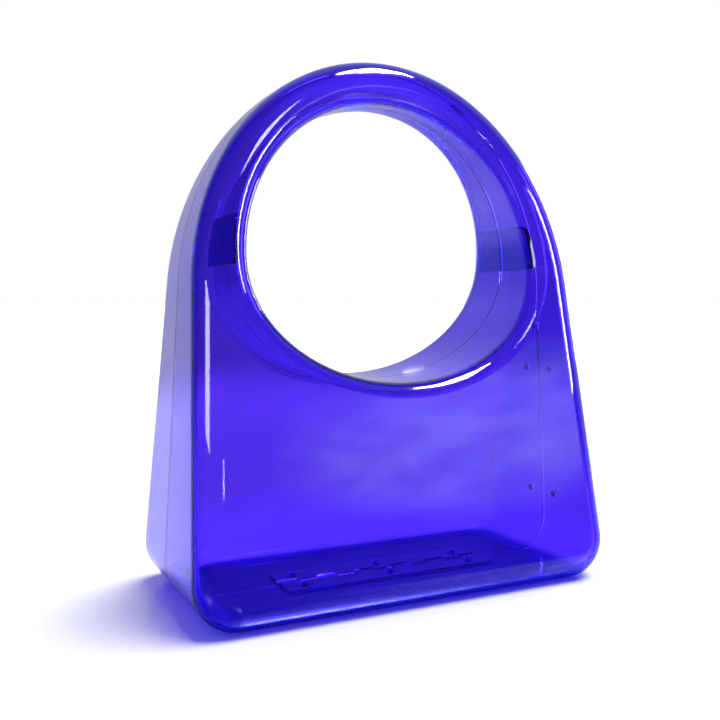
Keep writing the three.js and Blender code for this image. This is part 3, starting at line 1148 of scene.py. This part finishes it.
@dataclass
class Studio:
    """Pale floor, surroundings, soft lights and the camera.

    The camera sees the floor and the surroundings as white. The plastic shows them dimmer, with bright
    sides.
    """

    azimuth: float = math.radians(26.04)
    elevation: float = math.radians(3.65)
    distance: float = 414.7 * MM
    target: Triple = (-8.1 * MM, 0.0, 103.9 * MM)
    lens: float = 44.21
    sensor_width: float = 36.0
    clip_start: float = 0.01
    floor_half_size: float = 60.0
    ambient: float = 0.2
    passed_dim: float = 0.44  # seen through the plastic, away from the bright sides
    passed_right: BrightSide = BrightSide(0.3, (0.866, 0.5, -0.1), (0.6, 0.92))
    passed_high: BrightSide = BrightSide(0.4, (0.423, 0.829, 0.366), (0.972, 0.996))  # in the bag's floor
    mirrored_dim: float = 0.05  # seen in its gloss, away from the bright sides
    mirrored_right: BrightSide = BrightSide(0.53, (0.62, 0.74, 0.26), (0.1, 0.6))
    mirrored_left: BrightSide = BrightSide(0.34, (-0.44, 0.9, 0.0), (0.75, 0.97))
    glow: BrightSide = BrightSide(2.1, (0.523, -0.791, 0.318), (0.972, 0.9995))  # low, in the front face
    glow_squash: Triple = (1.0, 1.0, 2.5)
    glow_least: float = 0.55  # share of the glow between its clouds
    glow_varied: float = 0.6  # what the clouds add
    cloud_scale: float = 14.0
    cloud_detail: float = 4.0
    cloud_span: Pair = (0.3, 0.7)
    mirror_centre: Triple = (-0.1, -0.05, 0.0)
    floor_colour: Colour = (0.95, 0.95, 0.955, 1.0)
    floor_beside: Colour = (0.95, 0.95, 0.7, 1.0)  # beside the bag, seen through the plastic
    # Painted light on the far floor, for rays from the plastic: lighter on the bright side, darker off it.
    far_floor_bright: Colour = (0.49, 0.49, 0.46, 1.0)  # far away, on the bright side and off it
    far_floor_dim: Colour = (0.31, 0.31, 0.25, 1.0)
    beside_span: Pair = (0.1, 0.22)  # distances where each tone starts and is full
    far_span: Pair = (0.45, 1.8)
    near_span: Pair = (0.2, 2.0)
    matt_span: Pair = (0.3, 0.9)
    floor_polish: float = 0.16
    floor_smudge: float = 0.06
    floor_smudge_scale: float = 3.0
    floor_smudge_detail: float = 3.0
    floor_gloss: float = 0.35
    floor_light: float = 1.67  # brightness of a white floor
    near_lift: float = 0.5  # how much brighter the gloss shows the floor close by
    sun_strength: float = 5.1
    sun_spread: float = math.radians(45)
    sun_from: Triple = (0.42, 0.07, 1.0)
    bounces: int = 40
    transparent_bounces: int = 28
    lamps: tuple[Lamp, ...] = (
        Lamp("high_panel", (0.35, -0.24, 1.05), 0.3, 0.24, 900.0),
        Lamp("back_strip", (1.0, 0.45, 0.35), 0.12, 0.5, 12.0),
        Lamp("right_front_panel", (0.22, -0.93, 0.82), 0.2, 0.15, 16.0),
        Lamp("right_strip", (0.79, -0.71, 0.42), 0.18, 0.36, 24.0),
        Lamp("front_strip", (0.17, -1.08, 0.2), 0.05, 0.06, 24.0),
        Lamp("left_front_panel", (-0.89, -0.62, 0.36), 0.34, 0.24, 12.0),
    )

    @property
    def forward(self) -> Vector:
        """Direction that the camera looks in."""
        level = math.cos(self.elevation)
        return Vector(
            (math.sin(self.azimuth) * level, math.cos(self.azimuth) * level, -math.sin(self.elevation))
        )

    def add_camera(self) -> None:
        """Adds the camera at the photograph's angle."""
        data = bpy.data.cameras.new("camera")
        data.sensor_width = self.sensor_width
        data.lens = self.lens
        data.clip_start = self.clip_start
        camera = linked("camera", data)
        camera.location = Vector(self.target) - self.forward * self.distance
        camera.rotation_euler = self.forward.to_track_quat("-Z", "Y").to_euler()
        bpy.context.scene.camera = camera

    def add_floor(self) -> None:
        """Adds the pale floor: white to the camera, with painted light in its colour for rays from the
        plastic.
        """
        half = self.floor_half_size
        corners = [(-half, -half, 0), (half, -half, 0), (half, half, 0), (-half, half, 0)]
        mesh = mesh_from("floor", corners, [(0, 1, 2, 3)])
        material, graph = material_graph("pale_floor")
        place = graph.node("ShaderNodeTexCoord", output="Object")
        distance = graph.vector("LENGTH", place, output="Value")
        unseen = 1.0 - graph.light_path("Is Camera Ray")
        # Painted light for rays through the plastic: the floor is darker far away and lighter on the bright
        # side, and less blue beside the bag.
        far = graph.remapped(distance, *self.far_span) * unseen
        toward = graph.vector("SUBTRACT", place, self.mirror_centre)
        right = self.passed_right.share(graph, toward)
        painted_far_light = graph.mixed(right, self.far_floor_dim, self.far_floor_bright)
        beside = graph.remapped(distance, *self.beside_span) * unseen
        near_colour = graph.mixed(beside, self.floor_colour, self.floor_beside)
        seen = graph.mixed(far, near_colour, painted_far_light)
        # Painted reflection: for rays mirrored in the plastic's gloss, the floor's colour is the brightness
        # of the surroundings, lighter close by.
        near = 1.0 - graph.remapped(distance, *self.near_span)
        mirrored = self.mirrored(graph, toward) * (1.0 + self.near_lift * near) * (1.0 / self.floor_light)
        colour = graph.mixed(graph.is_mirrored(), seen, mirrored)
        smudges = graph.noise(place, self.floor_smudge_scale, self.floor_smudge_detail)
        surface = graph.node(
            "ShaderNodeBsdfPrincipled",
            {
                "Base Color": colour,
                "Roughness": self.floor_polish + self.floor_smudge * smudges,
                "Specular IOR Level": self.floor_gloss,
            },
        )
        matt = graph.node("ShaderNodeBsdfDiffuse", {"Color": colour})
        spread = graph.remapped(distance, *self.matt_span)
        whole = graph.node("ShaderNodeMixShader", {0: spread, 1: surface, 2: matt})
        graph.node("ShaderNodeOutputMaterial", {"Surface": whole})
        mesh.materials.append(material)
        floor = linked("floor", mesh)

    def mirrored(self, graph: Graph, direction: Signal) -> Signal:
        """Brightness in the gloss of the plastic of what lies in a direction from the bag."""
        right = self.mirrored_right.light(graph, direction)
        return self.mirrored_dim + right + self.mirrored_left.light(graph, direction)

    def add_surroundings(self) -> None:
        """Adds the surroundings, white to the camera and with bright sides in the plastic."""
        world = bpy.data.worlds.new("studio")
        world.use_nodes = True
        bpy.context.scene.world = world
        graph = Graph(world.node_tree)
        direction = graph.node("ShaderNodeTexCoord", output="Generated")
        squashed = graph.vector("MULTIPLY", direction, self.glow_squash)
        cloud_noise = graph.noise(squashed, self.cloud_scale, self.cloud_detail)
        cloud = graph.remapped(cloud_noise, *self.cloud_span)
        clouded = self.glow_least + self.glow_varied * cloud
        mirrored = self.mirrored(graph, direction) + self.glow.light(graph, squashed) * clouded
        right = self.passed_right.light(graph, direction)
        passed = self.passed_dim + right + self.passed_high.light(graph, direction)
        strength = (
            self.ambient
            + graph.light_path("Is Camera Ray") * (1.0 - self.ambient)
            + graph.light_path("Is Transmission Ray") * (passed - self.ambient)
            + graph.is_mirrored() * (mirrored - self.ambient)
        )
        light = graph.node("ShaderNodeBackground", {"Color": WHITE, "Strength": strength})
        graph.node("ShaderNodeOutputWorld", {"Surface": light})

    def add_sun(self) -> None:
        """Adds the broad main light from the upper right."""
        data = bpy.data.lights.new("main_light", "SUN")
        data.energy = self.sun_strength
        data.angle = self.sun_spread
        sun = linked("main_light", data)
        sun.rotation_euler = (-Vector(self.sun_from)).to_track_quat("-Z", "Y").to_euler()
        sun.visible_transmission = False
        sun.visible_glossy = False

    def set_light_paths(self) -> None:
        """Lets light go through the many skins of the bag, with no glints from it on the floor."""
        cycles = bpy.context.scene.cycles
        cycles.max_bounces = self.bounces
        cycles.transmission_bounces = self.bounces
        cycles.transparent_max_bounces = self.transparent_bounces
        cycles.glossy_bounces = self.bounces
        cycles.caustics_refractive = False
        cycles.caustics_reflective = False
        bpy.context.scene.view_settings.view_transform = "Standard"

    def build(self) -> None:
        """Builds the whole studio."""
        self.add_camera()
        self.add_floor()
        self.add_surroundings()
        self.add_sun()
        self.set_light_paths()
        for lamp in self.lamps:
            lamp.build()


def main() -> None:
    """Builds the studio and dresses the bag, piece by piece."""
    logging.basicConfig(level=logging.INFO, format="%(name)s: %(message)s")
    form = BagForm()
    hinge = Hinge()
    studs = WallStuds(form)
    makers: list[Callable[[], None]] = [
        Studio().build,
        Shells(form, hinge, studs).build,
        hinge.build,
        studs.build,
        ClosureTabs(form).build,
    ]
    for make in makers:
        make()


if __name__ == "__main__":
    main()
